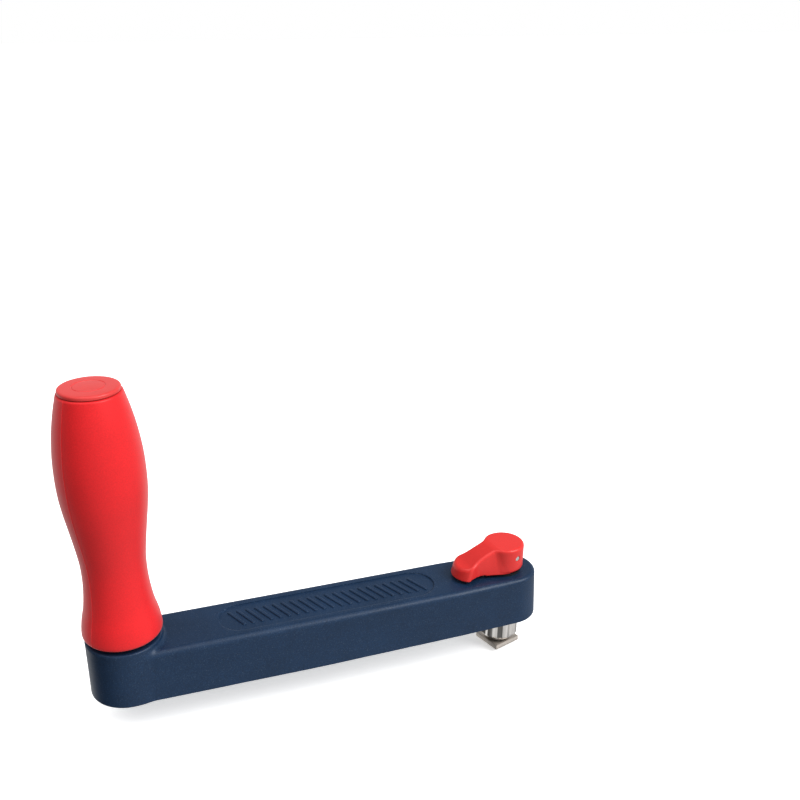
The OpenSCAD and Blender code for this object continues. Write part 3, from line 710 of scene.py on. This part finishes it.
# Torsion spring: its lower leg stays with the arm and its upper leg turns with the lever
COIL_LOW, COIL_HIGH, COIL_R, LEG = 21.1, 30.4, 7.4, 2.1
COIL_TURNS, WIRE_R = 4, 0.5
coil = [(-COIL_R, 0, COIL_LOW - LEG), (-COIL_R, 0, COIL_LOW - 0.7)]
for t in np.linspace(0, COIL_TURNS, 113):
    a = 2 * math.pi * t
    rise = (COIL_HIGH - COIL_LOW) * t / COIL_TURNS
    coil.append((-COIL_R * math.cos(a), -COIL_R * math.sin(a), COIL_LOW + rise))
coil += [(-COIL_R, 0, COIL_HIGH + 0.7), (-COIL_R, 0, COIL_HIGH + LEG)]
spring = new_piece("lever_torsion_spring", *tube(coil, WIRE_R), None, ["lever_spring"],
                   "spring_steel", 60)
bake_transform(spring)

# ---------------------------------------------------------------- drive stud and lock plate
def star_outline():
    """Outline of two crossed squares with blunt points."""
    half = STAR_AF / 2
    blunt = math.radians(45) - math.acos(half / STAR_TIP_R)
    valley_r = half / math.cos(math.radians(22.5))
    out = []
    for k in range(8):
        a = math.radians(45 * k)
        for t in np.linspace(-blunt, blunt, 5):
            corner = 0.3 if abs(abs(t) - blunt) < 1e-9 else 0
            out.append((STAR_TIP_R * math.cos(a + t), STAR_TIP_R * math.sin(a + t), corner))
        v = a + math.radians(22.5)
        out.append((valley_r * math.cos(v), valley_r * math.sin(v), 0.35))
    return rounded(out)


def circle_points(r, count):
    """Points round a circle, the first one on +X."""
    return [(r * math.cos(t), r * math.sin(t)) for t in np.linspace(0, 2 * math.pi, count + 1)[:-1]]


def turned_ring(outline, turn, z, limit=1e9):
    """The outline turned and set at z, where limit is the largest radius of a point."""
    ring = []
    for x, y in outline:
        k = min(1, limit / math.hypot(x, y))
        c, s = math.cos(turn), math.sin(turn)
        ring.append(((x * c - y * s) * k, (x * s + y * c) * k, z))
    return ring


# Star below the arm, with a conical lead-in at its end and a bore for the shaft
stud_end = STUD_LO[2]
lead_h, lead_in, end_round, stud_top = 4, 3.1, 0.3, 9.6
star = star_outline()
rings = [turned_ring(star, STAR_TURN, stud_top)]
rings += [turned_ring(star, STAR_TURN, z) for z in np.linspace(0, stud_end + lead_h + 0.4, 12)]
for z in np.linspace(stud_end + lead_h + 0.2, stud_end + end_round, 27):
    cone_r = STAR_TIP_R + 0.05 - lead_in * (stud_end + lead_h - z) / lead_h
    rings.append(turned_ring(star, STAR_TURN, z, cone_r if z < stud_end + lead_h else 1e9))
for t in np.radians([30, 60, 90]):
    end_r = STAR_TIP_R - lead_in * (lead_h - end_round) / lead_h - 0.35 * (1 - math.cos(t)) - 0.1
    rings.append(turned_ring(star, STAR_TURN, stud_end + end_round * (1 - math.sin(t)), end_r))
bore = circle_points(STUD_BORE_R, len(star))
start = math.atan2(rings[0][0][1], rings[0][0][0])
rings += [turned_ring(bore, start, stud_end), turned_ring(bore, start, stud_top)]
new_piece("drive_star", *loft(rings[::-1], closed=True), "arm", [], "chrome", 25)

# Octagonal root in the arm, and the neck above it
root_r = STUD_ROOT_HALF / math.cos(math.radians(22.5))
root = rounded([(root_r * math.cos(t), root_r * math.sin(t), 0.5)
                for t in np.radians(22.5 + 45 * np.arange(8))], 4)
root_low, root_top = 0.02, 9.9
rings = [turned_ring(root, 0, root_low, 13.2)]
rings += [turned_ring(root, 0, 0.3), turned_ring(root, 0, root_top)]
begin = math.atan2(root[0][1], root[0][0])
neck, hole = circle_points(STUD_NECK_R, len(root)), circle_points(STUD_BORE_R, len(root))
rings += [turned_ring(neck, begin, root_top), turned_ring(neck, begin, STUD_HI[2])]
rings += [turned_ring(hole, begin, STUD_HI[2]), turned_ring(hole, begin, root_low)]
new_piece("drive_stud_root", *loft(rings, closed=True), "arm", ["drive_stud"], "chrome", 25)

# Square lock plate with rounded corners and broken edges: inset and height of each ring
square = rounded([(PLATE_HALF * i, PLATE_HALF * j, 0.55)
                  for i, j in ((1, 1), (-1, 1), (-1, -1), (1, -1))], 6)
levels = [(0.35, PLATE_LO[2]), (0.1, PLATE_LO[2] + 0.1), (0, PLATE_LO[2] + 0.35),
          (0, PLATE_HI[2] - 0.35), (0.1, PLATE_HI[2] - 0.1), (0.35, PLATE_HI[2])]
rings = []
for inset, z in levels:
    k = 1 - inset / PLATE_HALF
    rings.append(turned_ring([(x * k, y * k) for x, y in square], PLATE_TURN, z))
new_piece("lock_plate_body", *loft(rings), "lock", ["lock_plate"], "plate_steel")

# Low round screw head with a hexagon socket, which opens downwards
head_low, head_high = SCREW_LO[2], PLATE_LO[2]
head_r, head_round, hex_half, hex_turn = 6, 0.7, 1.7, math.radians(12)
circle = circle_points(1, 72)
hexagon = []
for x, y in circle:
    a = (math.atan2(y, x) - hex_turn) % math.radians(60) - math.radians(30)
    hexagon.append((x * hex_half / math.cos(a), y * hex_half / math.cos(a)))
levels = [(circle, head_r, head_high), (circle, head_r, head_low + head_round)]
for t in np.radians([22, 45, 68, 90]):
    levels.append((circle, head_r - head_round * (1 - math.cos(t)),
                   head_low + head_round * (1 - math.sin(t))))
levels += [(hexagon, 1.12, head_low), (hexagon, 1, head_low + 0.2), (hexagon, 1, head_low + 1.2)]
rings = [[(x * k, y * k, z) for x, y in outline] for outline, k, z in levels]
new_piece("plate_screw_head", *loft(rings[::-1]), "lock", ["plate_screw"], "stainless")

# ---------------------------------------------------------------- carried-over CAD nodes
NODE_SLOTS = {
    "bottom_cover": "cover_plastic", "cover_gasket": "seal_rubber", "cover_screws": "stainless",
    "foam_core": "foam", "stud_washer": "stainless", "stud_nut": "stainless",
    "shaft_seal": "seal_rubber", "stop_pin": "stainless", "grip_spindle": "stainless",
    "spindle_washer": "stainless", "spindle_nut": "stainless", "thrust_washer": "acetal",
    "retaining_washer": "stainless", "retaining_screw": "stainless", "lever_washer": "core_plastic",
    "lock_shaft": "stainless", "grip_core": "core_plastic",
    "lower_bush": "acetal", "upper_bush": "acetal",
}
for name, slot in NODE_SLOTS.items():
    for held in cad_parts[name].material_slots:
        held.material = SLOTS[slot]

# ---------------------------------------------------------------- stage, light and camera
FLOOR_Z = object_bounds()[0].z - 0.0002


def floor_material():
    """Pale and faintly glowing, so that it blends into the white horizon."""
    m = bpy.data.materials.new("pale_floor")
    m.use_nodes = True
    shader = m.node_tree.nodes["Principled BSDF"]
    shader.inputs["Base Color"].default_value = (0.93, 0.93, 0.93, 1)
    shader.inputs["Roughness"].default_value = 0.9
    shader.inputs["Specular IOR Level"].default_value = 0.0
    shader.inputs["Emission Color"].default_value = (1, 1, 1, 1)
    shader.inputs["Emission Strength"].default_value = 0.45
    return m


def add_floor():
    """Plain floor, which casts no light on the object and isn't seen in its reflections."""
    size = 30.0
    mesh = bpy.data.meshes.new("floor")
    mesh.from_pydata([(-size, -size, FLOOR_Z), (size, -size, FLOOR_Z), (size, size, FLOOR_Z),
                      (-size, size, FLOOR_Z)], [], [(0, 1, 2, 3)])
    obj = bpy.data.objects.new("floor", mesh)
    mesh.materials.append(floor_material())
    bpy.context.scene.collection.objects.link(obj)
    obj.visible_diffuse = obj.visible_glossy = False


add_floor()


def add_sun(name, azimuth, elevation, strength, soft):
    """Light from a compass direction (0 is -Y, 90 is +X), as wide as soft degrees."""
    data = bpy.data.lights.new(name, "SUN")
    data.energy = strength
    data.angle = math.radians(soft)
    a, e = math.radians(azimuth), math.radians(elevation)
    back = Vector((math.sin(a) * math.cos(e), -math.cos(a) * math.cos(e), math.sin(e)))
    obj = bpy.data.objects.new(name, data)
    obj.rotation_mode = "QUATERNION"
    obj.rotation_quaternion = (-back).to_track_quat("-Z", "Y")
    bpy.context.scene.collection.objects.link(obj)


def add_world():
    """Soft surround: bright at the front right, dark at the left, white at the horizon behind."""
    world = bpy.data.worlds.new("studio")
    world.use_nodes = True
    nt = world.node_tree
    coords = nt.nodes.new("ShaderNodeTexCoord").outputs["Generated"]
    split = nt.nodes.new("ShaderNodeSeparateXYZ")
    nt.links.new(coords, split.inputs[0])
    turned = nt.nodes.new("ShaderNodeVectorMath")
    turned.operation = "DOT_PRODUCT"
    nt.links.new(coords, turned.inputs[0])
    turned.inputs[1].default_value = (0.6, -0.8, 0.0)
    around = span(nt, turned.outputs["Value"], 0.15, 0.95, -0.3, 0.85)
    above = span(nt, split.outputs["Z"], 0.0, 0.45, 0.0, 0.9)
    behind = mix(nt, 1.0, span(nt, split.outputs["Y"], 0, 1, 0.2, 0.5),
                 span(nt, split.outputs["Z"], 1, 0.35, 0.12, 0.6), "MULTIPLY")
    tone = mix(nt, 1.0, mix(nt, 1.0, around, above, "LIGHTEN"), behind, "LIGHTEN")
    nt.links.new(tone, nt.nodes["Background"].inputs["Color"])
    nt.nodes["Background"].inputs["Strength"].default_value = 1.0
    bpy.context.scene.world = world


add_world()
add_sun("right_key", 48, 42, 2.1, 35)
add_sun("overhead", -60, 75, 1.35, 60)
bpy.context.scene.view_settings.view_transform = "Standard"
bpy.context.scene.view_settings.look = "None"
bpy.context.scene.view_settings.gamma = 0.82

# Camera fitted to the photo: place, turn from +Y towards +X, tilt down and roll
CAMERA_AT = Vector((-0.2118, -0.3866, 0.2958))
CAMERA_TURN, CAMERA_DOWN, CAMERA_ROLL = (math.radians(a) for a in (17.813, 25.729, -0.645))
data = bpy.data.cameras.new("camera")
data.sensor_width = 36.0
data.lens = 41.24
data.shift_x, data.shift_y = 0.0625, 0.0875
data.clip_start, data.clip_end = 0.01, 100.0
camera = bpy.data.objects.new("camera", data)
ahead = Vector((math.sin(CAMERA_TURN) * math.cos(CAMERA_DOWN),
                math.cos(CAMERA_TURN) * math.cos(CAMERA_DOWN), -math.sin(CAMERA_DOWN)))
right = Vector((math.cos(CAMERA_TURN), -math.sin(CAMERA_TURN), 0))
up = right.cross(ahead)
rolled_right = right * math.cos(CAMERA_ROLL) + up * math.sin(CAMERA_ROLL)
rolled_up = up * math.cos(CAMERA_ROLL) - right * math.sin(CAMERA_ROLL)
camera.matrix_world = Matrix.Translation(CAMERA_AT) @ Matrix(
    (rolled_right, rolled_up, -ahead)).transposed().to_4x4()
bpy.context.scene.collection.objects.link(camera)
bpy.context.scene.camera = camera
